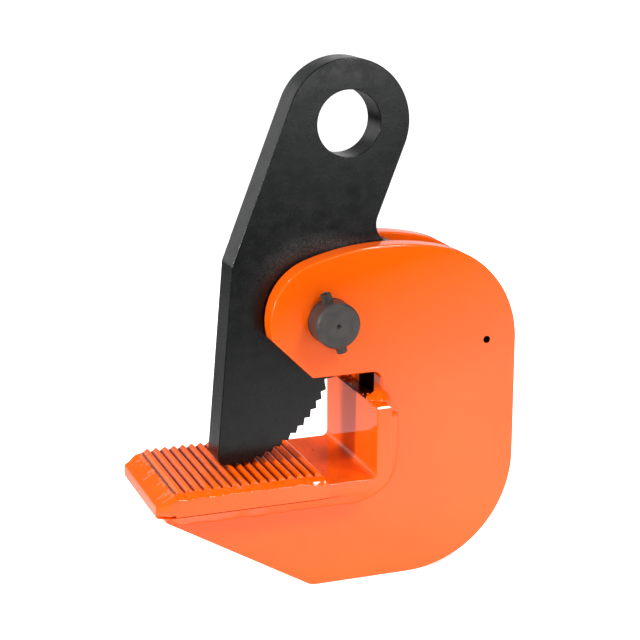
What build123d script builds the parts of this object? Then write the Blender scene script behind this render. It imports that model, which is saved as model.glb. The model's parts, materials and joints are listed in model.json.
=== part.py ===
from build123d import *
import os
from math import acos, atan2, cos, degrees, hypot, radians, sin, sqrt, tan

# Horizontal plate lifting clamp. Millimetres, +Z up, standing on the flat bottom edges of its two
# side plates. X runs from the jaw tip (-X) to the back of the body (+X); Y is across the plates,
# with the front plate at -Y. Profiles are drawn in the X-Z plane about the pivot pin's axis, and
# place() moves every solid to the row origin: the middle of the footprint box at floor level.

# --- overall -------------------------------------------------------------------------------
PIVOT_HEIGHT = 127.0          # pivot pin axis above the floor
TIP_X = -85.1                 # jaw bar tip, from the pivot axis
NOSE_R = 28.0                 # side plate round nose, about the pivot
TOP_R = 118.0                 # side plate shallow top arc
SHOULDER_R = 48.0             # side plate upper back arc
SHOULDER_X = 45.0             # centre of that arc
BACK_X = SHOULDER_X + SHOULDER_R
HEEL_R = 54.0                 # side plate lower back arc
BOTTOM_Z = -PIVOT_HEIGHT
UNDERSIDE_DEG = 30.2          # slope of the plate edge under the jaw
UNDERSIDE_X, UNDERSIDE_Z = -71.1, -90.9   # a point on that edge
TOE_ROUND_R = 8.0             # rounding between that slope and the flat bottom
PLATE_TIP_X = -78.0           # the plates end just behind the jaw tip
PLATE_T = 10.0
PLATE_GAP = 19.0
PLATE_IN = PLATE_GAP / 2
PLATE_OUT = PLATE_IN + PLATE_T

# --- beak and throat -----------------------------------------------------------------------
BEAK_Z = -26.4                # beak underside
BEAK_SLANT = 34.5             # the 45 degree slant under the nose lies on x + z = -BEAK_SLANT
BEAK_ROUND_R = 1.6
THROAT_R = 4.0                # upper inner corner of the throat
HOLE_X, HOLE_Z, HOLE_R = 78.0, -16.2, 1.7

# --- jaw bar, a flat bar bent to an L --------------------------------------------------------
BAR_W = 66.0
BAR_T = 7.4
BAR_IN_X = 17.8               # throat face of the upright leg
BAR_TOP_Z = -72.7             # top face of the flat leg
BAR_END_Z = -38.8             # top end of the upright leg
BEND_R = 5.0                  # inside radius of the bend
BAR_OUT_X = BAR_IN_X + BAR_T
BAR_BOT_Z = BAR_TOP_Z - BAR_T
TIP_CUT_X, TIP_CUT_Y = 5.7, 4.3   # corners cut off the tip, seen from above
TIP_BEVEL_X, TIP_BEVEL_Z = 5.6, 1.7  # bevel along the tip's top edge

# --- serrated jaw pad ------------------------------------------------------------------------
PAD_W = 58.6
PAD_CREST_Z = -67.3
RIBS = 16
RIB_PITCH = 4.345
RIB_DEPTH = 2.0
RIB_CREST = 0.35              # flat on each crest
PAD_X0 = -76.4                # tip end of the pad
PAD_X1 = PAD_X0 + RIBS * RIB_PITCH

# --- welds -----------------------------------------------------------------------------------
PAD_BEAD_TIP = 3.1            # bead from the pad's end down to the bar's bevelled tip
PAD_BEAD_HEEL = 2.5
BAR_BEAD_Z, BAR_BEAD_Y = 9.0, 9.0
BAR_BEAD_END_Z = -45.6
END_BEAD_Y, END_BEAD_Z = 6.5, 5.0

# --- cam with its lifting arm ------------------------------------------------------------------
CAM_T = 16.0
EYE_X, EYE_Z = 13.2, 86.7
EYE_R = 15.0                  # shackle hole
EYE_OUT_R = 29.1
KINK = (-42.2, 25.5)          # bend in the arm's left edge
FOOT_X = -50.5                # left edge at the nose
NOSE_Z = -67.0                # underside of the nose, just clear of the pad's crests
NOSE_ROUND_R = 4.0
GRIP_R = 56.6                 # arc through the gripping teeth's tips
GRIP_X, GRIP_Z = -49.0, -12.5
GRIP_TEETH = 11
GRIP_PITCH = 5.0              # degrees of that arc per tooth
GRIP_FIRST = -24.5            # arc angle of the uppermost tooth
GRIP_DEPTH = 1.95
WAIST_R = 9.3                 # hollow where the arm's right edge meets the heel
WAIST_X, WAIST_Z = 36.0, 40.0
HUB_R = 31.0
STOP_R = 47.2                 # heel that meets the upright's end at full opening
OPEN_DEG = 48.0
STOP_GAP = 0.4

# --- pivot -------------------------------------------------------------------------------------
PIN_R = 10.5
PIN_END = 30.9                # half the pin's length
RUN = 0.05                    # radial running clearance
BUSH_R = 13.0
WASHER_R = 19.0
WASHER_T = 1.1
ROLL_R = 2.5
ROLL_WALL = 0.9
ROLL_L = 29.0
ROLL_Y = 24.1
ROLL_TILT = 16.5

# --- spacers between the plates ------------------------------------------------------------------
SPACER_T = 12.0


def place(solid):
    return Pos(-(TIP_X + BACK_X) / 2, 0, PIVOT_HEIGHT) * solid


def save(name, solid):
    solid = place(solid)
    solid.label = name
    export_step(solid, f"parts/{name}.step")


def polar(radius, angle, centre=(0, 0)):
    return (centre[0] + radius * cos(radians(angle)), centre[1] + radius * sin(radians(angle)))


def arc(centre, radius, start, end):
    """Arc about centre from start to end degrees, the short way as written."""
    return ThreePointArc(polar(radius, start, centre), polar(radius, (start + end) / 2, centre),
                         polar(radius, end, centre))


def slab(edges, y_low, y_high):
    """Closed outline of edges in X-Z, as a plate from y_low to y_high."""
    face = Plane.XZ * make_face(edges)
    return Pos(0, y_high, 0) * extrude(face, amount=y_high - y_low, dir=(0, -1, 0))


def polygon(points):
    return [Line(a, b) for a, b in zip(points, points[1:] + points[:1])]


def rod(radius, y_low, y_high, x=0.0, z=0.0):
    return Pos(x, (y_low + y_high) / 2, z) * Rot(90, 0, 0) * Cylinder(radius, y_high - y_low)


def box(x0, x1, y0, y1, z0, z1):
    return Pos((x0 + x1) / 2, (y0 + y1) / 2, (z0 + z1) / 2) * Box(x1 - x0, y1 - y0, z1 - z0)


def side_plate(y_low, y_high):
    top_x = 28.5
    top_z = -sqrt((TOP_R - NOSE_R) ** 2 - top_x**2)
    shoulder_z = top_z + sqrt((TOP_R - SHOULDER_R) ** 2 - (SHOULDER_X - top_x) ** 2)
    nose_top = degrees(atan2(-top_z, -top_x))
    shoulder_top = degrees(atan2(shoulder_z - top_z, SHOULDER_X - top_x))
    heel = (BACK_X - HEEL_R, BOTTOM_Z + HEEL_R)

    # the slant meets the nose circle below the pivot
    half = BEAK_SLANT / 2
    reach = sqrt(NOSE_R**2 - BEAK_SLANT**2 / 2) / sqrt(2)
    slant_top = (-half - reach, -half + reach)
    slant_end = (-BEAK_SLANT - BEAK_Z, BEAK_Z)
    nose_low = degrees(atan2(slant_top[1], slant_top[0])) + 360

    slope = tan(radians(UNDERSIDE_DEG))
    tip_z = UNDERSIDE_Z - slope * (PLATE_TIP_X - UNDERSIDE_X)
    toe_x = PLATE_TIP_X + (tip_z - BOTTOM_Z) / slope
    bend = (BAR_OUT_X - BEND_R - BAR_T, BAR_BOT_Z + BEND_R + BAR_T)
    edges = [
        arc((0, 0), NOSE_R, nose_low, nose_top),
        arc((top_x, top_z), TOP_R, nose_top, shoulder_top),
        arc((SHOULDER_X, shoulder_z), SHOULDER_R, shoulder_top, 0),
        Line((BACK_X, shoulder_z), (BACK_X, heel[1])),
        arc(heel, HEEL_R, 0, -90),
        Line((heel[0], BOTTOM_Z), (toe_x, BOTTOM_Z)),
        Line((toe_x, BOTTOM_Z), (PLATE_TIP_X, tip_z)),
        Line((PLATE_TIP_X, tip_z), (PLATE_TIP_X, BAR_BOT_Z)),
        Line((PLATE_TIP_X, BAR_BOT_Z), (bend[0], BAR_BOT_Z)),
        arc(bend, BEND_R + BAR_T, -90, 0),
        Line((BAR_OUT_X, bend[1]), (BAR_OUT_X, BEAK_Z)),
        Line((BAR_OUT_X, BEAK_Z), slant_end),
        Line(slant_end, slant_top),
    ]
    plate = slab(edges, y_low, y_high)

    def upright_edges(x, z):
        return [e for e in plate.edges().filter_by(Axis.Y)
                if abs(e.center().X - x) < 0.05 and abs(e.center().Z - z) < 0.05]

    plate = fillet(upright_edges(BAR_OUT_X, BEAK_Z), THROAT_R)
    plate = fillet(upright_edges(*slant_end), BEAK_ROUND_R)
    plate = fillet(upright_edges(toe_x, BOTTOM_Z), TOE_ROUND_R)
    plate -= rod(PIN_R + RUN, y_low - 1, y_high + 1)
    plate -= rod(HOLE_R, y_low - 1, y_high + 1, HOLE_X, HOLE_Z)
    return plate


def jaw_bar():
    inner, outer = BEND_R, BEND_R + BAR_T
    bend = (BAR_IN_X - BEND_R, BAR_TOP_Z + BEND_R)
    edges = [
        Line((TIP_X, BAR_TOP_Z - TIP_BEVEL_Z), (TIP_X, BAR_BOT_Z)),
        Line((TIP_X, BAR_BOT_Z), (bend[0], BAR_BOT_Z)),
        arc(bend, outer, -90, 0),
        Line((BAR_OUT_X, bend[1]), (BAR_OUT_X, BAR_END_Z)),
        Line((BAR_OUT_X, BAR_END_Z), (BAR_IN_X, BAR_END_Z)),
        Line((BAR_IN_X, BAR_END_Z), (BAR_IN_X, bend[1])),
        arc(bend, inner, 0, -90),
        Line((bend[0], BAR_TOP_Z), (TIP_X + TIP_BEVEL_X, BAR_TOP_Z)),
        Line((TIP_X + TIP_BEVEL_X, BAR_TOP_Z), (TIP_X, BAR_TOP_Z - TIP_BEVEL_Z)),
    ]
    bar = slab(edges, -BAR_W / 2, BAR_W / 2)
    for side in (-1, 1):
        y = side * BAR_W / 2
        corner = Polyline((TIP_X, y), (TIP_X + TIP_CUT_X, y), (TIP_X, y - side * TIP_CUT_Y),
                          close=True)
        bar -= Pos(0, 0, BAR_BOT_Z - 1) * extrude(make_face(corner), amount=BAR_T + 2,
                                                 dir=(0, 0, 1))
    return bar


def jaw_pad():
    valley = PAD_CREST_Z - RIB_DEPTH
    points = [(PAD_X0, BAR_TOP_Z), (PAD_X0, valley)]
    for rib in range(RIBS):
        middle = PAD_X0 + (rib + 0.5) * RIB_PITCH
        points += [(middle - RIB_CREST / 2, PAD_CREST_Z), (middle + RIB_CREST / 2, PAD_CREST_Z),
                   (middle + RIB_PITCH / 2, valley)]
    points.append((PAD_X1, BAR_TOP_Z))
    return slab(polygon(points), -PAD_W / 2, PAD_W / 2)


def end_bead(x_pad, reach, height):
    """Bead across the bar where an end of the pad meets it; reach is signed along X."""
    points = [(x_pad, BAR_TOP_Z), (x_pad + reach, BAR_TOP_Z), (x_pad, BAR_TOP_Z + height)]
    return slab(polygon(points), -PAD_W / 2 + 0.6, PAD_W / 2 - 0.6)


def side_bead(side):
    """Bead along one long edge of the pad."""
    y_pad, y_bar = side * PAD_W / 2, side * BAR_W / 2
    height = PAD_CREST_Z - RIB_DEPTH - BAR_TOP_Z
    face = Plane.YZ * make_face(Polyline((y_pad, BAR_TOP_Z), (y_bar, BAR_TOP_Z),
                                         (y_pad, BAR_TOP_Z + height), close=True))
    start = TIP_X + TIP_CUT_X
    return Pos(start, 0, 0) * extrude(face, amount=PAD_X1 + 1.5 - start, dir=(1, 0, 0))


def bar_bead(side):
    """Fillet weld in the corner between a side plate and the bar's outer face."""
    bend = (BAR_OUT_X - BEND_R - BAR_T, BAR_BOT_Z + BEND_R + BAR_T)
    y = side * PLATE_OUT
    path = [Line((PLATE_TIP_X + 1, y, BAR_BOT_Z), (bend[0], y, BAR_BOT_Z)),
            Edge.make_three_point_arc((bend[0], y, BAR_BOT_Z),
                                      (*polar(BEND_R + BAR_T, -45, bend)[:1], y,
                                       polar(BEND_R + BAR_T, -45, bend)[1]),
                                      (BAR_OUT_X, y, bend[1])),
            Line((BAR_OUT_X, y, bend[1]), (BAR_OUT_X, y, BAR_BEAD_END_Z))]
    start = PLATE_TIP_X + 1
    corner = [(start, y, BAR_BOT_Z), (start, y + side * BAR_BEAD_Y, BAR_BOT_Z),
              (start, y, BAR_BOT_Z - BAR_BEAD_Z)]
    face = make_face(Polyline(*corner, close=True))
    return sweep(face, path=Wire(path), transition=Transition.RIGHT)


def end_weld(side):
    """Weld that fills the corner between the upright's end and a side plate, and wraps the edge."""
    y0, y1 = sorted((side * PLATE_OUT, side * (PLATE_OUT + END_BEAD_Y)))
    lump = slab(polygon([(BAR_OUT_X, BAR_BEAD_END_Z), (BAR_OUT_X + 4.6, BAR_BEAD_END_Z),
                         (BAR_OUT_X + 3.4, BAR_END_Z + 1.0), (BAR_OUT_X, BAR_END_Z + 2.6)]),
                y0, y1)
    face = Plane.YZ * make_face(Polyline(
        (side * PLATE_OUT, BAR_END_Z), (side * (PLATE_OUT + END_BEAD_Y + 4.0), BAR_END_Z),
        (side * PLATE_OUT, BAR_END_Z + END_BEAD_Z), close=True))
    start = BAR_IN_X + 0.4
    wedge = Pos(start, 0, 0) * extrude(face, amount=BAR_OUT_X + 0.5 - start, dir=(1, 0, 0))
    return lump + wedge


def grip_points():
    """Saw teeth from the nose up to the top of the gripping arc, tips on the arc."""
    centre = (GRIP_X, GRIP_Z)
    points = []
    for tooth in range(GRIP_TEETH):
        tip = GRIP_FIRST - (GRIP_TEETH - 1 - tooth) * GRIP_PITCH
        points += [polar(GRIP_R, tip, centre),
                   polar(GRIP_R - GRIP_DEPTH, tip + 0.6 * GRIP_PITCH, centre)]
    return points


def cam():
    eye = (EYE_X, EYE_Z)
    # tangents from the kink and from the waist to the eye's outer circle
    dx, dz = EYE_X - KINK[0], EYE_Z - KINK[1]
    left = degrees(atan2(-dz, -dx)) - degrees(acos(EYE_OUT_R / hypot(dx, dz)))
    wx, wz = WAIST_X - EYE_X, WAIST_Z - EYE_Z
    right = degrees(atan2(wz, wx)) + degrees(acos((EYE_OUT_R + WAIST_R) / hypot(wx, wz)))
    waist = (WAIST_X, WAIST_Z)

    # heel corner and flank: level with the upright's end when the cam is fully open
    flank = -BAR_END_Z - STOP_GAP
    run = sqrt(STOP_R**2 - flank**2)

    def open_point(x, z):
        a = radians(OPEN_DEG)
        return (x * cos(a) - z * sin(a), x * sin(a) + z * cos(a))

    heel_corner = open_point(run, -flank)
    heel_inner = open_point(BAR_IN_X - 1.5, -flank)
    heel_low = degrees(atan2(heel_corner[1], heel_corner[0]))
    heel_top = degrees(atan2(WAIST_Z - WAIST_R, WAIST_X))
    hub_start = degrees(atan2(heel_inner[1], heel_inner[0]))
    teeth = grip_points()
    hub_end = degrees(atan2(teeth[-1][1], teeth[-1][0]))
    hub_top = polar(HUB_R, hub_start)
    hub_low = polar(HUB_R, hub_end)
    heel_start = polar(STOP_R, heel_top)
    nose_end = (teeth[0][0] - 1.2, NOSE_Z)
    outline = [
        Line(KINK, polar(EYE_OUT_R, left, eye)),
        ThreePointArc(polar(EYE_OUT_R, left, eye), polar(EYE_OUT_R, 80, eye),
                      polar(EYE_OUT_R, right, eye)),
        Line(polar(EYE_OUT_R, right, eye), polar(WAIST_R, right + 180, waist)),
        ThreePointArc(polar(WAIST_R, right + 180, waist), polar(WAIST_R, (right + 450) / 2, waist),
                      polar(WAIST_R, 270, waist)),
        Line(polar(WAIST_R, 270, waist), heel_start),
        arc((0, 0), STOP_R, heel_top, heel_low),
        Line(heel_corner, heel_inner),
        Line(heel_inner, hub_top),
        arc((0, 0), HUB_R, hub_start, hub_end),
        Line(hub_low, teeth[-1]),
        *[Line(a, b) for a, b in zip(teeth[::-1], teeth[-2::-1])],
        Line(teeth[0], nose_end),
        Line(nose_end, (FOOT_X + NOSE_ROUND_R, NOSE_Z)),
        arc((FOOT_X + NOSE_ROUND_R, NOSE_Z + NOSE_ROUND_R), NOSE_ROUND_R, -90, -180),
        Line((FOOT_X, NOSE_Z + NOSE_ROUND_R), KINK),
    ]
    body = slab(outline, -CAM_T / 2, CAM_T / 2)
    body -= rod(EYE_R, -CAM_T, CAM_T, EYE_X, EYE_Z)
    body -= rod(BUSH_R, -CAM_T, CAM_T)
    return body


def roll_pin(y, grow=0.0):
    pin = Cylinder(ROLL_R + grow, ROLL_L + 2 * grow)
    if not grow:
        pin -= Cylinder(ROLL_R - ROLL_WALL, ROLL_L + 1)
        pin -= Pos(0, -ROLL_R, 0) * Box(0.7, 2 * ROLL_R, ROLL_L + 1)
        pin = chamfer(pin.edges().filter_by(GeomType.CIRCLE).sort_by(Axis.Z)[-1:], 0.25)
    return Pos(0, y, 0) * Rot(0, -ROLL_TILT, 0) * pin


def pivot_pin():
    pin = rod(PIN_R, -PIN_END, PIN_END)
    pin = chamfer(pin.edges().filter_by(GeomType.CIRCLE), 1.0)
    for side in (-1, 1):
        drill = Rot(90 * side, 0, 0) * Cone(0.0, 2.0, 2.4)
        pin -= Pos(0, side * (PIN_END - 1.2), 0) * Rot(-180, 0, 0) * drill
        pin -= Pos(0, side * ROLL_Y, 0) * Rot(0, -ROLL_TILT, 0) * Cylinder(ROLL_R, 4 * PIN_R)
    return pin


def main():
    os.makedirs("parts", exist_ok=True)
    for name, side in (("front", -1), ("rear", 1)):
        low, high = sorted((side * PLATE_IN, side * PLATE_OUT))
        save(f"side_plate_{name}", side_plate(low, high))
        save(f"pad_weld_{name}", side_bead(side))
        save(f"bar_weld_{name}", bar_bead(side))
        save(f"upright_end_weld_{name}", end_weld(side))
        save(f"spring_pin_{name}", roll_pin(side * ROLL_Y))
        face = side * CAM_T / 2
        y0, y1 = sorted((face, face + side * WASHER_T))
        save(f"cam_washer_{name}", rod(WASHER_R, y0, y1) - rod(PIN_R + RUN, y0 - 1, y1 + 1))
    save("jaw_bar", jaw_bar())
    save("jaw_pad", jaw_pad())
    save("pad_weld_tip", end_bead(PAD_X0, -PAD_BEAD_TIP, PAD_BEAD_TIP - 0.4))
    save("pad_weld_throat", end_bead(PAD_X1, PAD_BEAD_HEEL, PAD_BEAD_HEEL))
    save("rear_spacer", box(BACK_X - 1 - SPACER_T, BACK_X - 1, -PLATE_IN, PLATE_IN, -72.0, -26.0))
    save("lower_spacer", box(-8.0, 38.0, -PLATE_IN, PLATE_IN, BOTTOM_Z, BOTTOM_Z + SPACER_T))
    save("cam", cam())
    save("cam_bush", rod(BUSH_R, -CAM_T / 2, CAM_T / 2) - rod(PIN_R + RUN, -CAM_T, CAM_T))
    save("pivot_pin", pivot_pin())


main()
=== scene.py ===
import json
from math import acos, atan2, ceil, cos, degrees, exp, hypot, pi, radians, sin, sqrt, tan
from random import Random

import bmesh
import bpy
from mathutils import Matrix, Vector, noise


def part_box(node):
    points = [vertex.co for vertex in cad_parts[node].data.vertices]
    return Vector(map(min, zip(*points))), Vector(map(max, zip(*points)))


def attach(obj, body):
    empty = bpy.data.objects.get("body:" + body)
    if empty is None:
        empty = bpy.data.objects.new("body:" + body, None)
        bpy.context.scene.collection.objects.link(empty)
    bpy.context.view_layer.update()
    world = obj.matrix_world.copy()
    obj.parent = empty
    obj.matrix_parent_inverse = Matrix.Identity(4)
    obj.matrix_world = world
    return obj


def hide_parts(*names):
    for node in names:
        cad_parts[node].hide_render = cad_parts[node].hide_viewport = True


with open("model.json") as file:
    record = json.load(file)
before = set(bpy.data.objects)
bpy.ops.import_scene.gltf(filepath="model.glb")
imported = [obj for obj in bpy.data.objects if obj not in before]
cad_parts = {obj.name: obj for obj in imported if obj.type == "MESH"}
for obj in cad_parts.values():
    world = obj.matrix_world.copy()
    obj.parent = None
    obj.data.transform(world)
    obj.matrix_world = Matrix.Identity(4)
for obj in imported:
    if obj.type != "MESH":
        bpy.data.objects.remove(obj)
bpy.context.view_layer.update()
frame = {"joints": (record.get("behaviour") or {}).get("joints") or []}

# Shapes are drawn in millimetres in the X-Z plane about the pivot pin's axis, with Y across the
# plates (front at -Y), and to_row() puts them in the frame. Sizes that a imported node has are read
# from its box; the others are named here.
MM = 0.001
PIVOT = Vector(frame["joints"][0]["pos_m"])


def mm_box(node):
    low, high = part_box(node)
    return (low - PIVOT) / MM, (high - PIVOT) / MM


plate_low, plate_high = mm_box("side_plate_front")
bar_low, bar_high = mm_box("jaw_bar")
pad_low, pad_high = mm_box("jaw_pad")
cam_low, cam_high = mm_box("cam")
_, pin_high = mm_box("pivot_pin")
roll_low, roll_high = mm_box("spring_pin_front")

# side plates
NOSE_R, TOP_R, SHOULDER_R, HEEL_R = 28.0, 118.0, 48.0, 54.0
TOP_X, SHOULDER_X = 28.5, 45.0              # centres of the two upper arcs
UNDERSIDE = radians(30.2)                   # slope of the edge under the jaw
UNDERSIDE_AT = (-71.1, -90.9)               # a point on it
TOE_ROUND, BEAK_ROUND, THROAT_ROUND = 8.0, 1.8, 4.0
BEAK_Z, BEAK_SLANT = -26.4, 34.5
TAG_HOLE = (78.0, -16.2, 1.7)               # X, Z and radius
PLATE_EDGE = 0.8                            # rounding of the edges
PLATE_OUT = -plate_low.y
PLATE_IN = -plate_high.y
BACK_X, BOTTOM_Z = plate_high.x, plate_low.z

# jaw bar
BAR_IN_X, BAR_TOP_Z, BEND_R = 17.8, -72.7, 5.0
BAR_T = bar_high.x - BAR_IN_X
BAR_HALF = bar_high.y
TIP_X, BAR_BOT_Z, BAR_END_Z, BAR_OUT_X = bar_low.x, bar_low.z, bar_high.z, bar_high.x
TIP_CUT = (5.7, 4.3)                        # the tip's corners, along X and Y
TIP_BEVEL = (5.6, 1.7)                      # the tip's top edge, along X and Z
INNER_BEND_R = 2.8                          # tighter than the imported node's BEND_R
END_CUT = (0.847, 0.531, 0.6)               # upright's end: normal's Y and Z, and depth
BAR_EDGE = 0.5

# serrated pad
RIBS = 16
RIB_PITCH = (pad_high.x - pad_low.x) / RIBS
RIB_DEPTH = 2.0
PAD_HALF = pad_high.y
VALLEY_Z = pad_high.z - RIB_DEPTH

# welds
PROUD = 0.14                                # how far a weld's skin stands off the bar's face
BAR_BEAD_LEG, BAR_BEAD_REACH = 9.3, 7.9     # along the plate and along the bar
BAR_BEAD_END_Z = -45.0
# height of the bead round the pad, against the distance from the middle and against X
SIDE_SLOPE = [(PAD_HALF - 2.6, VALLEY_Z - 0.8), (PAD_HALF - 1.7, VALLEY_Z - 0.1),
              (PAD_HALF - 0.9, VALLEY_Z + 0.15), (PAD_HALF, VALLEY_Z - 0.05),
              (PAD_HALF + 1.0, VALLEY_Z - 0.55), (BAR_HALF - 1.3, VALLEY_Z - 1.15),
              (BAR_HALF - 0.6, VALLEY_Z - 1.6), (BAR_HALF, VALLEY_Z - 2.05)]
TIP_SLOPE = [(TIP_X - 0.05, BAR_TOP_Z - 2.7), (TIP_X + 0.35, BAR_TOP_Z - 2.0),
             (TIP_X + 1.1, BAR_TOP_Z - 1.6), (TIP_X + 3.0, BAR_TOP_Z - 0.75),
             (TIP_X + 5.5, BAR_TOP_Z + 0.45), (pad_low.x - 1.2, VALLEY_Z - 1.8),
             (pad_low.x - 0.2, VALLEY_Z - 0.8), (pad_low.x + 0.4, VALLEY_Z + 0.2)]

# cam
EYE = (13.2, 86.7)
EYE_R, EYE_OUT_R = 15.0, 29.1
KINK = (-42.2, 25.5)
NOSE_ROUND = 4.0
GRIP = (-49.0, -12.5)                       # centre of the teeth's arc
GRIP_R, GRIP_TEETH, GRIP_PITCH, GRIP_FIRST, GRIP_DEPTH = 56.6, 11, 5.0, -24.5, 1.95
WAIST, WAIST_R = (36.0, 40.0), 9.3
HUB_R, STOP_R, STOP_GAP = 31.0, 47.2, 0.4
OPEN = radians(frame["joints"][0]["range_deg"][1])
CAM_HALF = cam_high.y
BUSH_R = 13.0
CAM_EDGE = 0.45

# pivot
PIN_R, PIN_END = pin_high.x, pin_high.y
RUN = 0.05                                  # radial clearance round the pin
ROLL_R, ROLL_WALL, ROLL_L, ROLL_TILT = 2.5, 0.9, 29.0, 16.5
ROLL_Y = -(roll_low.y + roll_high.y) / 2


def to_row(x, y, z):
    return PIVOT + Vector((x, y, z)) * MM


# --- outlines ---------------------------------------------------------------------------------
def polar(radius, angle, centre=(0, 0)):
    return (centre[0] + radius * cos(radians(angle)), centre[1] + radius * sin(radians(angle)))


def arc(centre, radius, start, end, step=1.0):
    count = max(3, ceil(abs(radians(end - start)) * radius / step))
    return [polar(radius, start + (end - start) * i / count, centre) for i in range(count + 1)]


def rounded(before, corner, after, radius, steps=6):
    """Points of an arc that rounds a corner between two straight edges."""
    c = Vector(corner)
    a, b = (Vector(before) - c).normalized(), (Vector(after) - c).normalized()
    half = a.angle(b) / 2
    reach = radius * cos(half) / sin(half)
    centre = c + (a + b).normalized() * radius / sin(half)
    p, q = c + a * reach - centre, c + b * reach - centre
    turn = p.angle(q)
    return [tuple(centre + (p * sin(turn * (1 - i / steps)) + q * sin(turn * i / steps))
                  / sin(turn)) for i in range(steps + 1)]


def side_plate_outline():
    top_z = -sqrt((TOP_R - NOSE_R) ** 2 - TOP_X**2)
    shoulder_z = top_z + sqrt((TOP_R - SHOULDER_R) ** 2 - (SHOULDER_X - TOP_X) ** 2)
    nose_top = degrees(atan2(-top_z, -TOP_X))
    shoulder_top = degrees(atan2(shoulder_z - top_z, SHOULDER_X - TOP_X))
    half = BEAK_SLANT / 2
    reach = sqrt(NOSE_R**2 - BEAK_SLANT**2 / 2) / sqrt(2)
    slant_top = (-half - reach, -half + reach)
    slant_end = (-BEAK_SLANT - BEAK_Z, BEAK_Z)
    nose_low = degrees(atan2(slant_top[1], slant_top[0])) + 360
    tip_z = UNDERSIDE_AT[1] - tan(UNDERSIDE) * (plate_low.x - UNDERSIDE_AT[0])
    toe = (plate_low.x + (tip_z - BOTTOM_Z) / tan(UNDERSIDE), BOTTOM_Z)
    heel = (BACK_X - HEEL_R, BOTTOM_Z + HEEL_R)
    outer = BEND_R + BAR_T
    bend = (BAR_OUT_X - outer, BAR_BOT_Z + outer)
    return [
        *arc((0, 0), NOSE_R, nose_low, nose_top),
        *arc((TOP_X, top_z), TOP_R, nose_top, shoulder_top)[1:],
        *arc((SHOULDER_X, shoulder_z), SHOULDER_R, shoulder_top, 0)[1:],
        *arc(heel, HEEL_R, 0, -90),
        *rounded((heel[0], BOTTOM_Z), toe, (plate_low.x, tip_z), TOE_ROUND),
        (plate_low.x, tip_z), (plate_low.x, BAR_BOT_Z),
        *arc(bend, outer, -90, 0),
        *rounded((BAR_OUT_X, bend[1]), (BAR_OUT_X, BEAK_Z), slant_end, THROAT_ROUND),
        *rounded((BAR_OUT_X, BEAK_Z), slant_end, slant_top, BEAK_ROUND),
    ]


def jaw_bar_outline():
    inner, outer = INNER_BEND_R, BEND_R + BAR_T
    bend = (BAR_OUT_X - outer, BAR_BOT_Z + outer)
    inner_bend = (BAR_IN_X - inner, BAR_TOP_Z + inner)
    tip_top = (TIP_X, BAR_TOP_Z - TIP_BEVEL[1])
    bevel_end = (TIP_X + TIP_BEVEL[0], BAR_TOP_Z)
    cut_x = TIP_X + TIP_CUT[0]
    return [
        *rounded(bevel_end, tip_top, (TIP_X, BAR_BOT_Z), 0.7, 3),
        *rounded(tip_top, (TIP_X, BAR_BOT_Z), (bend[0], BAR_BOT_Z), 0.9, 3),
        (cut_x, BAR_BOT_Z),
        *arc(bend, outer, -90, 0),
        *rounded((BAR_OUT_X, bend[1]), (BAR_OUT_X, BAR_END_Z), (BAR_IN_X, BAR_END_Z), 1.4, 4),
        *rounded((BAR_OUT_X, BAR_END_Z), (BAR_IN_X, BAR_END_Z), (BAR_IN_X, bend[1]), 1.0, 4),
        *arc(inner_bend, inner, 0, -90, 0.4),
        (cut_x + 0.1, BAR_TOP_Z),
        bevel_end,
    ]


def grip_points():
    points = []
    for tooth in range(GRIP_TEETH):
        tip = GRIP_FIRST - (GRIP_TEETH - 1 - tooth) * GRIP_PITCH
        points += [polar(GRIP_R, tip, GRIP), polar(GRIP_R - GRIP_DEPTH, tip + 0.6 * GRIP_PITCH, GRIP)]
    return points


def cam_outline():
    dx, dz = EYE[0] - KINK[0], EYE[1] - KINK[1]
    left = degrees(atan2(-dz, -dx)) - degrees(acos(EYE_OUT_R / hypot(dx, dz)))
    wx, wz = WAIST[0] - EYE[0], WAIST[1] - EYE[1]
    right = degrees(atan2(wz, wx)) + degrees(acos((EYE_OUT_R + WAIST_R) / hypot(wx, wz)))
    flank = -BAR_END_Z - STOP_GAP

    def opened(x, z):
        return (x * cos(OPEN) - z * sin(OPEN), x * sin(OPEN) + z * cos(OPEN))

    heel_corner = opened(sqrt(STOP_R**2 - flank**2), -flank)
    heel_inner = opened(BAR_IN_X - 1.5, -flank)
    heel_low = degrees(atan2(heel_corner[1], heel_corner[0]))
    heel_top = degrees(atan2(WAIST[1] - WAIST_R, WAIST[0]))
    hub_start = degrees(atan2(heel_inner[1], heel_inner[0]))
    teeth = grip_points()
    hub_end = degrees(atan2(teeth[-1][1], teeth[-1][0]))
    foot = (cam_low.x, cam_low.z)
    return [
        *rounded(foot, KINK, polar(EYE_OUT_R, left, EYE), 6.0),
        *arc(EYE, EYE_OUT_R, left + 360 if left < right else left, right),
        *arc(WAIST, WAIST_R, right + 180, 270),
        *arc((0, 0), STOP_R, heel_top, heel_low),
        heel_inner,
        *arc((0, 0), HUB_R, hub_start, hub_end),
        *teeth[::-1],
        (teeth[0][0] - 1.2, cam_low.z),
        *rounded((0, cam_low.z), foot, KINK, NOSE_ROUND),
    ]


# --- meshes -----------------------------------------------------------------------------------
def place(name, mesh, body, material, stands_for):
    """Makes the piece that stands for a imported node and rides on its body."""
    mesh.materials.append(material)
    mesh.shade_smooth()
    piece = bpy.data.objects.new(name, mesh)
    bpy.context.scene.collection.objects.link(piece)
    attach(piece, body)
    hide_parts(stands_for)
    return piece


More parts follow.
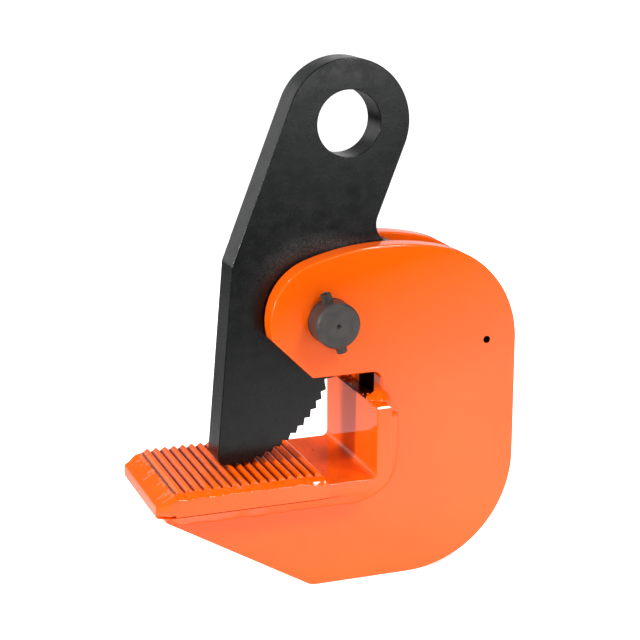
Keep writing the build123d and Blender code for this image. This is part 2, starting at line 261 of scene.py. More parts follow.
def slab_mesh(name, outline, holes, y_low, y_high, edge, steps=3):
    """Plate with the outline in X-Z and rounded edges, from a filled 2D curve."""
    curve = bpy.data.curves.new(name, "CURVE")
    curve.dimensions, curve.fill_mode = "2D", "BOTH"
    for loop in [outline, *holes]:
        spline = curve.splines.new("POLY")
        spline.points.add(len(loop) - 1)
        for point, (x, z) in zip(spline.points, loop):
            point.co = (x, z, 0, 1)
        spline.use_cyclic_u = True
    curve.bevel_depth, curve.bevel_resolution = edge, steps
    curve.offset, curve.extrude = -edge, (y_high - y_low) / 2 - edge
    maker = bpy.data.objects.new(name + "_curve", curve)
    bpy.context.scene.collection.objects.link(maker)
    bpy.context.view_layer.update()
    mesh = bpy.data.meshes.new_from_object(maker.evaluated_get(bpy.context.evaluated_depsgraph_get()))
    bpy.data.objects.remove(maker)
    bpy.data.curves.remove(curve)
    turn = Matrix.Rotation(pi / 2, 4, "X")
    shift = Matrix.Translation(PIVOT + Vector((0, (y_low + y_high) / 2 * MM, 0)))
    mesh.transform(shift @ turn @ Matrix.Scale(MM, 4))
    bm = bmesh.new()
    bm.from_mesh(mesh)
    bmesh.ops.remove_doubles(bm, verts=bm.verts, dist=2e-6)
    bmesh.ops.recalc_face_normals(bm, faces=bm.faces)
    bm.to_mesh(mesh)
    bm.free()
    mesh.name = name
    mesh.materials.clear()
    return mesh


def soften(piece, angle=35):
    """Smooth rounded edges and flat faces together."""
    piece.data.set_sharp_from_angle(angle=radians(angle))
    weighted = piece.modifiers.new("normals", "WEIGHTED_NORMAL")
    weighted.keep_sharp, weighted.weight = True, 80


def circle(x, z, radius, count=64):
    return [polar(radius, 360 * i / count, (x, z)) for i in range(count)]


def loft_mesh(name, rings):
    """Closed skin over rings of (x, y, z) points, capped at both ends."""
    count = len(rings[0])
    verts = [to_row(*p) for ring in rings for p in ring]
    faces = []
    for i in range(len(rings) - 1):
        for j in range(count):
            k = (j + 1) % count
            faces.append((i * count + j, i * count + k, (i + 1) * count + k, (i + 1) * count + j))
    faces += [tuple(range(count)), tuple(range(len(verts) - count, len(verts)))]
    mesh = bpy.data.meshes.new(name)
    mesh.from_pydata(verts, [], faces)
    bm = bmesh.new()
    bm.from_mesh(mesh)
    bmesh.ops.recalc_face_normals(bm, faces=bm.faces)
    bm.to_mesh(mesh)
    bm.free()
    return mesh


def wobble(x, y, seed, size):
    return noise.noise(Vector((x / size, y / size, seed * 7.3)))


# --- materials --------------------------------------------------------------------------------
ENAMEL = (0.93, 0.105, 0.0012), (0.97, 0.121, 0.0018)
# painted shade: dark red-brown laid into the rib valleys
GROOVE_SHADE = (0.055, 0.006, 0.002)
# painted shade: near-black brown for the low inner faces between the plates and inside the tag hole
INNER_SHADE = (0.022, 0.008, 0.005)
SHADED_END = (0.045, 0.010, 0.005)
BLACKED = (0.0018, 0.0023, 0.0026), (0.0042, 0.0050, 0.0054)
WORN_GRAIN = (0.026, 0.027, 0.027)
RUBBED_GREY = (0.058, 0.056, 0.054)
RUBBED_R, RUBBED_CORE, RUBBED_FADE = 0.033, 0.001, 0.007    # metres from the pivot's axis
PHOSPHATED = (0.040, 0.037, 0.034), (0.062, 0.057, 0.052)
TURNING_MM = 0.55                                           # pitch of the pin's turning marks


class Shader:
    def __init__(self, name, **constants):
        self.material = bpy.data.materials.new(name)
        self.material.use_nodes = True
        self.tree = self.material.node_tree
        self.bsdf = self.tree.nodes["Principled BSDF"]
        for socket, value in constants.items():
            self.bsdf.inputs[socket.replace("_", " ")].default_value = value
        self.object_space = self.tree.nodes.new("ShaderNodeTexCoord").outputs["Object"]

    def node(self, kind, inputs, **settings):
        made = self.tree.nodes.new(kind)
        for key, value in settings.items():
            setattr(made, key, value)
        for key, value in inputs.items():
            if isinstance(value, bpy.types.NodeSocket):
                self.tree.links.new(value, made.inputs[key])
            else:
                made.inputs[key].default_value = value
        return made

    def noise(self, feature_mm, detail=2.0, roughness=0.5, vector=None):
        return self.node("ShaderNodeTexNoise", {
            "Vector": vector or self.object_space, "Scale": 1 / (feature_mm * MM),
            "Detail": detail, "Roughness": roughness}).outputs["Fac"]

    def axis(self, letter):
        return self.node("ShaderNodeSeparateXYZ", {0: self.object_space}).outputs[letter]

    def about(self, centre):
        """Place relative to a centre, and the distance from the axis along Y through it."""
        off = self.node("ShaderNodeVectorMath", {0: self.object_space, 1: tuple(centre)},
                        operation="SUBTRACT").outputs[0]
        flat = self.node("ShaderNodeVectorMath", {0: off, 1: (1, 0, 1)}, operation="MULTIPLY").outputs[0]
        return off, self.node("ShaderNodeVectorMath", {0: flat}, operation="LENGTH").outputs["Value"]

    def stretched(self, x, y, z):
        return self.node("ShaderNodeVectorMath", {0: self.object_space, 1: (x, y, z)},
                         operation="MULTIPLY").outputs[0]

    def remap(self, value, low, high, to_low, to_high):
        return self.node("ShaderNodeMapRange", {"Value": value, "From Min": low, "From Max": high,
                                                "To Min": to_low, "To Max": to_high}).outputs[0]

    def math(self, operation, a, b=0.0):
        return self.node("ShaderNodeMath", {0: a, 1: b}, operation=operation).outputs[0]

    def mix(self, fac, a, b):
        made = self.node("ShaderNodeMix", {"Factor": fac}, data_type="RGBA")
        for key, value in ((6, a), (7, b)):
            if isinstance(value, bpy.types.NodeSocket):
                self.tree.links.new(value, made.inputs[key])
            else:
                made.inputs[key].default_value = (*value, 1)
        return made.outputs[2]

    def bump(self, height, distance_mm, strength=1.0, normal=None):
        inputs = {"Height": height, "Distance": distance_mm * MM, "Strength": strength}
        if normal:
            inputs["Normal"] = normal
        return self.node("ShaderNodeBump", inputs).outputs[0]

    def drive(self, socket, value):
        self.tree.links.new(value, self.bsdf.inputs[socket])


def paint(name, peel_mm, ripple_mm, groove=None, shade_inside=False, ripple_size=14, shaded_end=False):
    """Glossy orange enamel over steel: orange peel, slow ripples and tone drift. The gloss is all
    in the coat. Groove is the first valley's X and the pitch of the grooves, which get painted
    shade. The inner-face flag paints shade, a near-black brown, on the low inner faces of the side
    plates and in the tag hole. Shaded_end paints a shade on the end of the bar's upright between
    the plates."""
    s = Shader(name, Coat_Weight=1.0, Coat_Roughness=0.035, Coat_IOR=1.5, Specular_IOR_Level=0.0)
    tone = s.noise(70, 3.0)
    base = s.mix(s.remap(tone, 0.35, 0.65, 0, 1), *ENAMEL)
    # painted shade: the rib valleys darken to a dark red-brown along each groove
    if groove:
        start, pitch = groove
        phase = s.math("FRACT", s.math("DIVIDE", s.math("SUBTRACT", s.axis("X"), start), pitch))
        near = s.math("ABSOLUTE", s.math("SUBTRACT", s.math("FRACT", s.math("ADD", phase, 0.5)), 0.5))
        waver = s.remap(s.noise(3, 3.0), 0.3, 0.7, 0.12, 0.20)
        base = s.mix(s.remap(near, 0.02, waver, 0.95, 0.0), base, GROOVE_SHADE)
    # painted shade: the low inner faces between the plates and the inside of the tag hole turn near-black
    # brown
    if shade_inside:
        skin_mm, shade_below, unshaded_above = 0.12, PIVOT.z + 0.002, PIVOT.z + 0.018
        inner = s.math("LESS_THAN", s.math("ABSOLUTE", s.axis("Y")), (PLATE_IN + skin_mm) * MM)
        ragged = s.math("ADD", s.axis("Z"), s.remap(s.noise(11, 4.0), 0.3, 0.7, -0.006, 0.006))
        deep = s.remap(ragged, shade_below, unshaded_above, 1.0, 0.0)
        _, off = s.about(to_row(TAG_HOLE[0], 0, TAG_HOLE[1]))
        bore = s.math("LESS_THAN", off, (TAG_HOLE[2] + 0.03) * MM)
        base = s.mix(s.math("MAXIMUM", s.math("MULTIPLY", inner, deep), bore), base, INNER_SHADE)
    if shaded_end:
        top = s.math("GREATER_THAN", s.axis("Z"), PIVOT.z + (BAR_END_Z - 0.5) * MM)
        waver = s.remap(s.noise(5, 4.0), 0.3, 0.7, -0.004, 0.004)
        ragged = s.math("ADD", s.math("ABSOLUTE", s.axis("Y")), waver)
        inside = s.remap(ragged, (PLATE_IN + 5) * MM, (PLATE_OUT + 4) * MM, 1.0, 0.0)
        base = s.mix(s.math("MULTIPLY", top, inside), base, SHADED_END)
    s.drive("Base Color", base)
    s.drive("Roughness", s.remap(s.noise(9, 4.0), 0.3, 0.7, 0.30, 0.42))
    peel = s.bump(s.noise(2.2, 2.0), peel_mm, 0.6)
    s.drive("Normal", s.bump(s.noise(ripple_size, 2.0), ripple_mm, 0.7, peel))
    return s.material


def blacked_steel(name):
    """Cam: satin black with fine grain, rubbed grey in part of a ring above the pivot."""
    s = Shader(name, Specular_IOR_Level=0.30)
    grain = s.noise(0.9, 6.0, 0.7)
    cloud = s.noise(32, 4.0)
    base = s.mix(s.remap(cloud, 0.35, 0.7, 0, 1), *BLACKED)
    base = s.mix(s.remap(grain, 0.62, 0.75, 0, 0.5), base, WORN_GRAIN)
    centred, radius = s.about(PIVOT)
    off = s.math("ABSOLUTE", s.math("SUBTRACT", radius, RUBBED_R))
    ring = s.remap(off, RUBBED_CORE, RUBBED_FADE, 1.0, 0.0)
    above = s.remap(s.node("ShaderNodeSeparateXYZ", {0: centred}).outputs["Z"], 0.012, 0.030, 0.0, 1.0)
    rubbed = s.math("MULTIPLY", s.math("MULTIPLY", ring, above), s.remap(grain, 0.40, 0.65, 0.1, 1.0))
    base = s.mix(rubbed, base, RUBBED_GREY)
    s.drive("Base Color", base)
    s.drive("Roughness", s.remap(s.noise(7, 6.0, 0.65), 0.3, 0.7, 0.19, 0.33))
    fine = s.bump(grain, 0.05, 0.5)
    s.drive("Normal", s.bump(s.noise(9, 3.0), 0.12, 0.5, fine))
    return s.material


def dark_steel(name):
    """Pin: dark phosphated steel with faint turning marks round the Y axis."""
    s = Shader(name, Metallic=0.35)
    _, radius = s.about(PIVOT)
    rings = s.math("SINE", s.math("MULTIPLY", radius, 2 * pi / (TURNING_MM * MM)))
    cloud = s.noise(4, 5.0, 0.6)
    base = s.mix(s.remap(cloud, 0.35, 0.68, 0, 1), *PHOSPHATED)
    s.drive("Base Color", base)
    s.drive("Roughness", s.remap(s.noise(2, 4.0), 0.3, 0.7, 0.38, 0.55))
    turned = s.bump(rings, 0.012, 0.5)
    s.drive("Normal", s.bump(s.noise(0.8, 4.0), 0.03, 0.5, turned))
    return s.material


def machined(name, dark, light):
    """Plain machined metal for the bush and washers."""
    s = Shader(name, Metallic=1.0)
    s.drive("Base Color", s.mix(s.remap(s.noise(3, 4.0), 0.35, 0.65, 0, 1), dark, light))
    s.drive("Roughness", s.remap(s.noise(1.2, 3.0), 0.3, 0.7, 0.25, 0.42))
    s.drive("Normal", s.bump(s.noise(0.5, 3.0, vector=s.stretched(1, 6, 1)), 0.02, 0.5))
    return s.material


PAINT = paint("orange_enamel", 0.035, 0.10)
PLATE_PAINT = paint("orange_enamel_on_plate", 0.07, 0.16, shade_inside=True)
BAR_PAINT = paint("orange_enamel_on_bar", 0.035, 0.10, shaded_end=True)
WELD_PAINT = paint("orange_enamel_on_weld", 0.05, 0.45, ripple_size=3.0)
RIB_PAINT = paint("orange_enamel_on_ribs", 0.04, 0.10,
                  (PIVOT.x + pad_low.x * MM, RIB_PITCH * MM))
BLACK = blacked_steel("blacked_steel")
PIN_STEEL = dark_steel("phosphated_steel")
BRONZE = machined("bush_bronze", (0.38, 0.21, 0.07), (0.55, 0.34, 0.13))
WASHER = machined("washer_steel", (0.34, 0.34, 0.33), (0.52, 0.52, 0.50))


# --- body -------------------------------------------------------------------------------------
def tighten(mesh, centre, radius, faces_y):
    """Shrinks the rounded lip that slab_mesh leaves round a hole."""
    kept = 0.22
    middle = to_row(centre[0], 0, centre[1])
    for vertex in mesh.vertices:
        flat = Vector((vertex.co.x - middle.x, vertex.co.z - middle.z)) / MM
        if flat.length > radius + PLATE_EDGE + 0.05:
            continue
        flat *= (radius + (flat.length - radius) * kept) / flat.length
        vertex.co.x, vertex.co.z = middle.x + flat.x * MM, middle.z + flat.y * MM
        face = min(faces_y, key=lambda y: abs(vertex.co.y / MM - y))
        deep = vertex.co.y / MM - face
        if abs(deep) <= PLATE_EDGE + 0.01:
            vertex.co.y = (face + deep * kept) * MM


def side_plates():
    for side, name in ((-1, "side_plate_front"), (1, "side_plate_rear")):
        low, high = sorted((side * PLATE_IN, side * PLATE_OUT))
        bore = circle(0, 0, PIN_R + RUN)
        hole = circle(*TAG_HOLE[:2], TAG_HOLE[2], 24)
        mesh = slab_mesh(name + "_shell", side_plate_outline(), [bore, hole], low, high, PLATE_EDGE)
        tighten(mesh, (0, 0), PIN_R + RUN, (low, high))
        tighten(mesh, TAG_HOLE[:2], TAG_HOLE[2], (low, high))
        soften(place(name + "_shell", mesh, "frame", PLATE_PAINT, name))


def bar_half(x):
    """Half the bar's width, less at the tip where its corners are cut off."""
    return BAR_HALF - TIP_CUT[1] * max(0.0, 1 - (x - TIP_X) / TIP_CUT[0])


def jaw_bar():
    """Bent bar: its tip's corners cut off, its upright's end chamfered at the front and the rear."""
    mesh = slab_mesh("jaw_bar_shell", jaw_bar_outline(), [], -BAR_HALF, BAR_HALF, BAR_EDGE)
    for vertex in mesh.vertices:
        x = (vertex.co.x - PIVOT.x) / MM
        y = vertex.co.y / MM
        limit = bar_half(x)
        if abs(y) > limit:
            vertex.co.y = limit * MM * (1 if y > 0 else -1)
        z = (vertex.co.z - PIVOT.z) / MM
        over = END_CUT[0] * (abs(y) - BAR_HALF) + END_CUT[1] * (z - BAR_END_Z) + END_CUT[2]
        if over > 0 and z > BAR_TOP_Z + 10:
            vertex.co.y -= END_CUT[0] * over * MM * (1 if y > 0 else -1)
            vertex.co.z -= END_CUT[1] * over * MM
    soften(place("jaw_bar_shell", mesh, "frame", BAR_PAINT, "jaw_bar"))


def rib_height(x):
    """Height of the ribs above their valleys, with painted crests and valleys rounded off."""
    phase = ((x - pad_low.x) / RIB_PITCH) % 1.0
    tent = 1 - abs(2 * phase - 1)
    valley, crest = 0.05, 0.22
    if tent < valley:
        tent = valley / 2 + tent**2 / (2 * valley)
    elif tent > 1 - crest:
        tent = 1 - crest / 2 - (1 - tent) ** 2 / (2 * crest)
    return RIB_DEPTH * tent


def jaw_pad():
    """Ribbed pad as a fine grid: ribs sag a little along their length and round off at the ends."""
    along, half_across = RIBS * 12, 36
    xs = [pad_low.x + (pad_high.x - pad_low.x) * i / along for i in range(along + 1)]
    ys = [PAD_HALF * sin(pi / 2 * (i / half_across - 1)) for i in range(2 * half_across + 1)]
    rings = []
    for x in xs:
        ring = []
        rib = (x - pad_low.x) / RIB_PITCH
        for y in ys:
            inside = min(1.0, (PAD_HALF - abs(y)) / (1.1 + 0.4 * wobble(rib * 2.1, y, 7, 1)))
            fade = sqrt(1 - (1 - inside) ** 2)
            sag = 0.07 * wobble(rib * 9, y, 1, 9) + 0.04 * wobble(x, y, 2, 3)
            height = rib_height(x) * fade - 0.35 * (1 - fade)
            ring.append((x, y, VALLEY_Z + height + sag * max(0.0, height) / RIB_DEPTH - 0.06))
        ring += [(x, PAD_HALF, BAR_TOP_Z - 0.1), (x, -PAD_HALF, BAR_TOP_Z - 0.1)]
        rings.append(ring)
    piece = place("jaw_pad_shell", loft_mesh("jaw_pad_shell", rings), "frame", RIB_PAINT,
                  "jaw_pad")
    piece.data.set_sharp_from_angle(angle=radians(55))


def follow(points, at):
    """Height at a place along a line of points, straight between them and level beyond."""
    if at <= points[0][0]:
        return points[0][1]
    for (x0, z0), (x1, z1) in zip(points, points[1:]):
        if at <= x1:
            t = (at - x0) / (x1 - x0)
            return z0 + (z1 - z0) * t
    return points[-1][1]


def bead_height(x, y):
    """Surface of the weld laid round the pad, down to the bar's tip and long edges. It slumps at
    the outer edge near its throat end, and the sides and the tip blend into each other."""
    half = bar_half(x)
    edge = BAR_HALF - (half - abs(y))
    side_seed = 3 if y < 0 else 13
    drift = 1.7 * wobble(x, side_seed, side_seed, 7)
    lump = 1.8 * wobble(x, side_seed, side_seed + 4, 3.2)
    side = follow(SIDE_SLOPE, edge + 0.6 * drift + 0.9 * lump) + 0.40 * drift + 0.50 * lump
    side += 0.40 * wobble(x, y, 4, 2.2)
    slump = exp(-(((x - pad_high.x + 3.5) / 4.5) ** 2))
    side -= 1.3 * slump * max(0.0, (edge - BAR_HALF + 2.0) / 2.0) ** 2
    streak = wobble(x * 0.45 + 0.2 * y, y, 5, 3.2)
    tip = follow(TIP_SLOPE, x + 0.5 * wobble(y, 20, 6, 6)) + 0.22 * streak + 0.10 * wobble(x, y, 9, 1.8)
    blend = 0.9
    mix = min(1.0, max(0.0, 0.5 + (side - tip) / (2 * blend)))
    return side + (tip - side) * mix - blend * mix * (1 - mix)


def spatter(mesh, drops):
    """Adds round drops of (x, y, z, radius), sunk over a quarter of their height below z."""
    bm = bmesh.new()
    bm.from_mesh(mesh)
    for x, y, z, radius in drops:
        at = Matrix.Translation(to_row(x, y, z + 0.35 * radius))
        squash = Matrix.Diagonal((1, 1, 0.8, 1))
        bmesh.ops.create_icosphere(bm, subdivisions=2, radius=radius * MM, matrix=at @ squash)
    bm.to_mesh(mesh)
    bm.free()


def weld(name, rings, node, drops=()):
    """Places a bead and its spatter, subdivided once."""
    mesh = loft_mesh(name, rings)
    spatter(mesh, drops)
    piece = place(name, mesh, "frame", WELD_PAINT, node)
    smooth = piece.modifiers.new("smooth", "SUBSURF")
    smooth.levels = smooth.render_levels = 1


def pad_side_welds():
    """Wavy beads along the pad's long edges that run over the bar's edge."""
    start, end, run_out, stations = pad_low.x - 0.8, pad_high.x + 2.6, 3.2, 170
    inner, outer, across = PAD_HALF - 2.4, BAR_HALF - 0.1, 15
    for side, name in ((-1, "pad_weld_front"), (1, "pad_weld_rear")):
        rings = []
        for i in range(stations + 1):
            x = start + (end - start) * i / stations
            sunk = 0.08 if x < pad_low.x else 0.0
            last = max(0.0, 1 - (end - x) / run_out)
            sink = sunk + 3.6 * last**2.2
            face = BAR_HALF + PROUD - 0.3 * last
            ring = [(x, side * y, bead_height(x, side * y) - sink)
                    for y in (inner + (outer - inner) * j / across for j in range(across + 1))]
            edge_z = ring[-1][2]
            ring += [(x, side * face, edge_z - 0.28), (x, side * face, edge_z - 0.7),
                     (x, side * face, (edge_z + BAR_BOT_Z) / 2), (x, side * face, BAR_BOT_Z + 1.3),
                     (x, side * face, BAR_BOT_Z + 0.75), (x, side * (BAR_HALF - 0.5), BAR_BOT_Z + 0.6),
                     (x, side * (BAR_HALF - 1.5), BAR_TOP_Z - 1.5),
                     (x, side * inner, BAR_TOP_Z - 0.5)]
            rings.append(ring)
        weld(name + "_bead", rings, name)


def pad_end_welds():
    """Streaky bead over the bevelled tip, and the small one on the throat side."""
    rings = []
    start, stations, half_across = pad_low.x + 0.4, 34, 50
    for i in range(stations + 1):
        x = start + (TIP_X - start) * i / stations
        half = bar_half(x)
        ring = []
        for j in range(2 * half_across + 1):
            y = half * sin(pi / 2 * (j / half_across - 1))
            ring.append((x, y, bead_height(x, y)))
        low, high = ring[0][2], ring[-1][2]
        ring = [(x, -half + 0.5, BAR_BOT_Z + 0.6), (x, -half - PROUD, BAR_BOT_Z + 0.75),
                (x, -half - PROUD, low - 0.7), (x, -half - PROUD, low - 0.28), *ring,
                (x, half + PROUD, high - 0.28), (x, half + PROUD, high - 0.7),
                (x, half + PROUD, BAR_BOT_Z + 0.75), (x, half - 0.5, BAR_BOT_Z + 0.6)]
        rings.append(ring)
    rings.append([(TIP_X - 0.10, y, max(z - 0.7, BAR_BOT_Z + 0.6)) for x, y, z in rings[-1]])
    rings.append([(TIP_X + 0.35, y * 0.99, max(z - 0.9, BAR_BOT_Z + 0.6)) for x, y, z in rings[-1]])
    weld("pad_weld_tip_bead", rings, "pad_weld_tip")

    heel, stations = [], 44
    for i in range(stations + 1):
        t = i / stations
        y = (2 * t - 1) * (PAD_HALF - 0.2)
        swell = min(1.0, t * 12, (1 - t) * 12) ** 0.5
        drift, fine = wobble(y, 20, 5, 6), wobble(y, 30, 6, 2.4)
        x1 = pad_high.x
        heel.append([(x1 - 0.6, y, BAR_TOP_Z + 2.6 * swell), (x1 + 0.5, y, BAR_TOP_Z + 2.3 * swell),
                     (x1 + 1.6 + 0.4 * drift, y, BAR_TOP_Z + 1.1 * swell + 0.2 * fine),
                     (x1 + 2.7 + 0.5 * drift, y, BAR_TOP_Z - 0.1), (x1 - 0.6, y, BAR_TOP_Z - 0.4)])
    specks, drop_count = Random(5), 34
    drops = [(pad_high.x + 2.5 + 9 * specks.random() ** 1.6, PAD_HALF * (2 * specks.random() - 1),
              BAR_TOP_Z, 0.22 + 0.25 * specks.random()) for _ in range(drop_count)]
    weld("pad_weld_throat_bead", heel, "pad_weld_throat", drops)


def bar_path(start_x, end_z, step=2.0):
    """Corner line between the bar's outer face and a plate, with the outward direction there."""
    outer = BEND_R + BAR_T
    bend = (BAR_OUT_X - outer, BAR_BOT_Z + outer)
    points = []
    count = round((bend[0] - start_x) / step)
    for i in range(count):
        points.append(((start_x + (bend[0] - start_x) * i / count, BAR_BOT_Z), (0, -1)))
    for i in range(9):
        angle = -90 + 90 * i / 9
        points.append((polar(outer, angle, bend), (cos(radians(angle)), sin(radians(angle)))))
    count = round((end_z - bend[1]) / step)
    for i in range(count + 1):
        points.append(((BAR_OUT_X, bend[1] + (end_z - bend[1]) * i / count), (1, 0)))
    return points


def bar_welds():
    """Fillets between the bar's outer face and the plates, with a rippled, slightly hollow face."""
    for side, name in ((-1, "bar_weld_front"), (1, "bar_weld_rear")):
        rings = []
        path = bar_path(plate_low.x + 0.5, BAR_BEAD_END_Z)
        for i, ((x, z), (ox, oz)) in enumerate(path):
            t = i / (len(path) - 1)
            near = min(1.0, (t * 14) ** 0.6 + 0.25, ((1 - t) * 16) ** 0.5 + 0.55)
            drift = wobble(x + z, side * 9, 8, 13)
            fine = wobble(x + z, side * 2, 9, 3.2)
            a = BAR_BEAD_LEG * near * (1 + 0.10 * drift + 0.04 * fine)
            b = BAR_BEAD_REACH * near * (1 + 0.05 * drift)
            ring = []
            for out, off in ((0.0, b + 0.15), (0.10 * a, b * 0.80), (0.34 * a, b * 0.50 + 0.5),
                             (0.60 * a, b * 0.27 + 0.5), (0.86 * a, b * 0.08 + 0.25),
                             (a + 0.1, -0.25), (0.4 * a, -0.6), (-0.5, -0.5), (-0.5, b * 0.6)):
                bulge = 0.16 * fine if 0.05 < out / max(a, 1) < 0.95 and off > 0 else 0.0
                ring.append((x + ox * (out + bulge), side * (PLATE_OUT + off + bulge),
                             z + oz * (out + bulge)))
            rings.append(ring)
        weld(name + "_bead", rings, name)


def end_welds():
    """Glossy lumps that fill the corner over the upright's end and run round its outer edge."""
    # path points: place, outward direction, and turn (0-1 on the end, to 2 at the corner, to 3 below)
    start, over_end, corner_r = BAR_IN_X - 0.3, 6.2, 1.3
    height, reach, drop_count = 4.9, 9.8, 16
    for side, name in ((-1, "upright_end_weld_front"), (1, "upright_end_weld_rear")):
        path = [((start + over_end * i / 10, BAR_END_Z), (0, 1), i / 10) for i in range(11)]
        for i in range(1, 8):
            angle = radians(90 - 90 * i / 7)
            place_at = polar(corner_r, degrees(angle), (BAR_OUT_X - corner_r, BAR_END_Z - corner_r))
            path.append((place_at, (cos(angle), sin(angle)), 1 + i / 7))
        path += [((BAR_OUT_X, BAR_END_Z - corner_r - i), (1, 0), 2 + i / 8) for i in range(1, 9)]
        rings = []
        for (x, z), (ox, oz), turn in path:
            swell = min(1.0, 0.22 + turn * 1.0, 0.45 + (3 - turn) * 1.2)
            lump = wobble(x * 1.1 + z, side * 4, 21, 3.0)
            up = (height if turn < 1 else height - 1.2 * min(1.0, turn - 1)) * swell + 1.3 * lump
            off = (reach - 1.8 * min(1.0, max(0.0, turn - 0.9) / 1.2)) * swell + 1.8 * lump
            ring = []
            for out, away in ((0.0, off), (up * 0.30, off * 0.93), (up * 0.62, off * 0.74),
                              (up * 0.86, off * 0.48), (up * 0.98, off * 0.22), (up, -0.3),
                              (up * 0.4, -0.6), (-1.0, -0.6), (-1.0, off * 0.5)):
                bump = 0.6 * wobble(x + z + away, away, 23, 2.0) if out > 0 and away > 0 else 0.0
                ring.append((x + ox * (out + bump), side * (PLATE_OUT + away + bump),
                             z + oz * (out + bump)))
            rings.append(ring)
        specks = Random(11 + side)
        drops = []
        for _ in range(drop_count):
            x = BAR_IN_X + 0.8 + (BAR_T - 1.6) * specks.random()
            y = side * (PLATE_OUT - 7 + 14 * specks.random())
            drops.append((x, y, BAR_END_Z, 0.35 + 0.4 * specks.random()))
        weld(name + "_bead", rings, name, drops)


def spacers():
    for name in ("rear_spacer", "lower_spacer"):
        low, high = mm_box(name)
        outline = [(low.x, low.z), (high.x, low.z), (high.x, high.z), (low.x, high.z)]
        mesh = slab_mesh(name + "_block", outline, [], low.y, high.y, 0.6)
        soften(place(name + "_block", mesh, "frame", PAINT, name))


# --- cam --------------------------------------------------------------------------------------
def cam_plate():
    holes = [circle(*EYE, EYE_R, 96), circle(0, 0, BUSH_R)]
    mesh = slab_mesh("cam_plate", cam_outline(), holes, -CAM_HALF, CAM_HALF, CAM_EDGE, 2)
    soften(place("cam_plate", mesh, "cam", BLACK, "cam"), 40)


def hidden_rings():
    """Bush and washers: turned rings with broken edges."""
    for name, material, slot in (("cam_bush", BRONZE, "bronze"),
                                 ("cam_washer_front", WASHER, "washer_steel"),
                                 ("cam_washer_rear", WASHER, "washer_steel")):
        low, high = mm_box(name)
        mesh = slab_mesh(name + "_ring", circle(0, 0, high.x, 96), [circle(0, 0, PIN_R + RUN)],
                         low.y, high.y, 0.2, 2)
        soften(place(name + "_ring", mesh, "cam", material, name))


# --- pivot pin --------------------------------------------------------------------------------
def pivot_pin():
    """Turned pin with chamfered, centre-drilled ends."""
    drill_r, drill_deep, chamfer = 1.2, 1.6, 1.0
    profile = [(PIN_END - drill_deep, 0.02), (PIN_END - 0.1, drill_r), (PIN_END, drill_r + 0.15),
               (PIN_END, PIN_R - chamfer - 0.15), (PIN_END - 0.05, PIN_R - chamfer),
               (PIN_END - chamfer, PIN_R - 0.05), (PIN_END - chamfer - 0.15, PIN_R)]
    profile = profile + [(-y, r) for y, r in reversed(profile)]
    count = 96
    rings = [[(r * cos(2 * pi * j / count), y, r * sin(2 * pi * j / count)) for j in range(count)]
             for y, r in profile]
    mesh = loft_mesh("pivot_pin_turned", rings)
    soften(place("pivot_pin_turned", mesh, "pin", PIN_STEEL, "pivot_pin"), 25)


def spring_pins():
    """Rolled pins: a split tube with rounded mouths."""
    tilt = Matrix.Rotation(radians(-ROLL_TILT), 4, "Y")
    gap, slit = radians(11), radians(62)
    for side, name in ((-1, "spring_pin_front"), (1, "spring_pin_rear")):
        sections = []
        half = ROLL_L / 2
        for z, grow in ((-half, -0.3), (-half + 0.12, -0.1), (-half + 0.45, 0), (half - 0.45, 0),
                        (half - 0.12, -0.1), (half, -0.3)):
            ring = []
            for radius, turns in ((ROLL_R + grow, 1), (ROLL_R - ROLL_WALL - grow * 0.6, -1)):
                for j in range(33):
                    angle = gap + (2 * pi - 2 * gap) * (j / 32 if turns > 0 else 1 - j / 32)
                    ring.append(tilt @ Vector((radius * sin(angle + slit), -radius * cos(angle + slit), z)))
            sections.append([(p.x, p.y + side * ROLL_Y, p.z) for p in ring])
        mesh = loft_mesh(name + "_rolled", sections)
        soften(place(name + "_rolled", mesh, "pin", PIN_STEEL, name), 40)


side_plates()
jaw_bar()
jaw_pad()
pad_side_welds()
pad_end_welds()
bar_welds()
end_welds()
spacers()
cam_plate()
hidden_rings()
pivot_pin()
spring_pins()


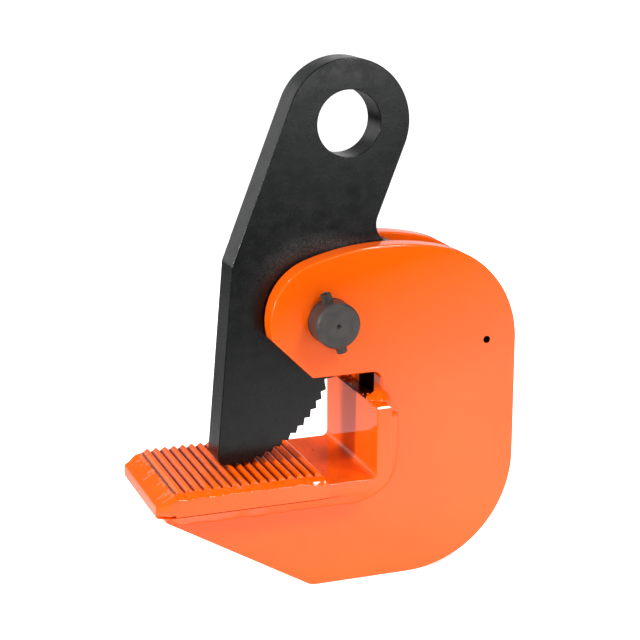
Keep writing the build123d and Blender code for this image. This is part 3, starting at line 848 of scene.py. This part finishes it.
# --- stage, light and camera ------------------------------------------------------------------
def stage():
    """Round glowing table. The camera sees it white. Every other ray sees it palest under the object
    and to its front right, dim behind it and nearly black towards the front left."""
    count, rings = 96, (0.15, 0.3, 0.45, 0.6, 0.75)
    patch, patch_full, patch_end, dim = (0.2, -0.45, 0), 0.35, 0.85, 0.15
    fade, fade_start, fade_end = (3.5, 4.5, 0), -1.86, -0.62
    verts = [(0, 0, 0)] + [(r * cos(2 * pi * j / count), r * sin(2 * pi * j / count), 0)
                           for r in rings for j in range(count)]
    faces = [(0, 1 + j, 1 + (j + 1) % count) for j in range(count)]
    for i in range(len(rings) - 1):
        for j in range(count):
            a, b = 1 + i * count + j, 1 + i * count + (j + 1) % count
            faces.append((a, a + count, b + count, b))
    mesh = bpy.data.meshes.new("floor")
    mesh.from_pydata(verts, [], faces)
    s = Shader("floor_white", Emission_Color=(1, 1, 1, 1), Emission_Strength=0.75)
    s.drive("Base Color", s.mix(s.noise(400, 2.0), (0.86, 0.86, 0.86), (0.90, 0.90, 0.90)))
    s.drive("Roughness", s.remap(s.noise(60, 2.0), 0.3, 0.7, 0.7, 0.8))
    along = s.node("ShaderNodeVectorMath", {0: s.object_space, 1: fade},
                   operation="DOT_PRODUCT").outputs["Value"]
    off = s.node("ShaderNodeVectorMath", {0: s.object_space, 1: patch},
                 operation="DISTANCE").outputs["Value"]
    near = s.math("MULTIPLY", s.remap(along, fade_start, fade_end, 0.0, 1.0),
                  s.remap(off, patch_full, patch_end, 1.0, dim))
    seen = s.math("MAXIMUM", near, s.node("ShaderNodeLightPath", {}).outputs["Is Camera Ray"])
    dark = s.node("ShaderNodeBsdfDiffuse", {"Color": (0.02, 0.02, 0.02, 1)})
    both = s.node("ShaderNodeMixShader", {0: seen, 1: dark.outputs[0], 2: s.bsdf.outputs[0]})
    s.tree.links.new(both.outputs[0], s.tree.nodes["Material Output"].inputs["Surface"])
    mesh.materials.append(s.material)
    floor = bpy.data.objects.new("floor", mesh)
    bpy.context.scene.collection.objects.link(floor)


def area_light(name, place_at, aim, size, power, mirrored=True):
    """Round lamp. One that isn't mirrored lights the object but is hidden from its gloss."""
    data = bpy.data.lights.new(name, "AREA")
    data.shape, data.size, data.energy = "DISK", size, power
    lamp = bpy.data.objects.new(name, data)
    lamp.visible_glossy = mirrored
    lamp.location = place_at
    lamp.rotation_mode = "QUATERNION"
    lamp.rotation_quaternion = (Vector(aim) - Vector(place_at)).to_track_quat("-Z", "Y")
    bpy.context.scene.collection.objects.link(lamp)


def studio():
    """White backdrop for the camera. Every other ray sees a dim room with a bright band from the
    horizon up, its stops from 0 straight down to 1 straight up."""
    world = bpy.data.worlds.new("studio")
    world.use_nodes = True
    tree = world.node_tree
    backdrop = tree.nodes["Background"]
    backdrop.inputs["Color"].default_value = (1, 1, 1, 1)
    backdrop.inputs["Strength"].default_value = 1.2
    room = tree.nodes.new("ShaderNodeBackground")
    height = tree.nodes.new("ShaderNodeSeparateXYZ")
    tree.links.new(tree.nodes.new("ShaderNodeTexCoord").outputs["Generated"], height.inputs[0])
    spread = tree.nodes.new("ShaderNodeMapRange")
    spread.inputs["From Min"].default_value = -1
    tree.links.new(height.outputs["Z"], spread.inputs["Value"])
    ramp = tree.nodes.new("ShaderNodeValToRGB")
    stops = ramp.color_ramp.elements
    stops[0].color, stops[-1].color = (0.05, 0.05, 0.05, 1), (0.08, 0.08, 0.08, 1)
    for at, value in ((0.42, 0.06), (0.50, 0.80), (0.638, 0.80), (0.656, 0.16), (0.72, 0.13)):
        stops.new(at).color = (value, value, value, 1)
    tree.links.new(spread.outputs[0], ramp.inputs[0])
    tree.links.new(ramp.outputs[0], room.inputs["Color"])
    either = tree.nodes.new("ShaderNodeMixShader")
    tree.links.new(tree.nodes.new("ShaderNodeLightPath").outputs["Is Camera Ray"], either.inputs[0])
    tree.links.new(room.outputs[0], either.inputs[1])
    tree.links.new(backdrop.outputs[0], either.inputs[2])
    tree.links.new(either.outputs[0], tree.nodes["World Output"].inputs["Surface"])
    bpy.context.scene.world = world


def lights():
    aim = (0, 0, 0.11)
    area_light("key", (0.6, -1.1, 1.35), aim, 0.4, 17)
    area_light("left", (-1.5, -0.12, 0.48), aim, 0.22, 20)
    area_light("upper_left", (-0.95, -0.35, 1.25), aim, 0.25, 3.5)
    area_light("top", (0.1, 0.35, 1.7), aim, 0.9, 12, mirrored=False)
    area_light("fill", (-0.8, -1.3, 0.7), aim, 0.8, 2.8, mirrored=False)
    area_light("front", (0.55, -1.5, 0.22), aim, 0.4, 2.6)
    area_light("rear_fill", (0.5, 1.4, 0.6), aim, 0.8, 9, mirrored=False)


def camera():
    """The photograph's viewing angle, with no lens shift and more pitch in its place."""
    azimuth, elevation, distance = radians(-20.09), radians(14.93), 0.755
    data = bpy.data.cameras.new("camera")
    data.sensor_width, data.lens = 36, 95.3
    data.clip_start, data.clip_end = 0.05, 50
    cam = bpy.data.objects.new("camera", data)
    target = to_row(-6.3, -23.3, 1.85)
    back = Vector((sin(azimuth) * cos(elevation), -cos(azimuth) * cos(elevation), sin(elevation)))
    cam.location = target + back * distance
    cam.rotation_mode = "QUATERNION"
    cam.rotation_quaternion = (-back).to_track_quat("-Z", "Y")
    bpy.context.scene.collection.objects.link(cam)
    bpy.context.scene.camera = cam


stage()
studio()
lights()
camera()
bpy.context.scene.view_settings.view_transform = "Standard"
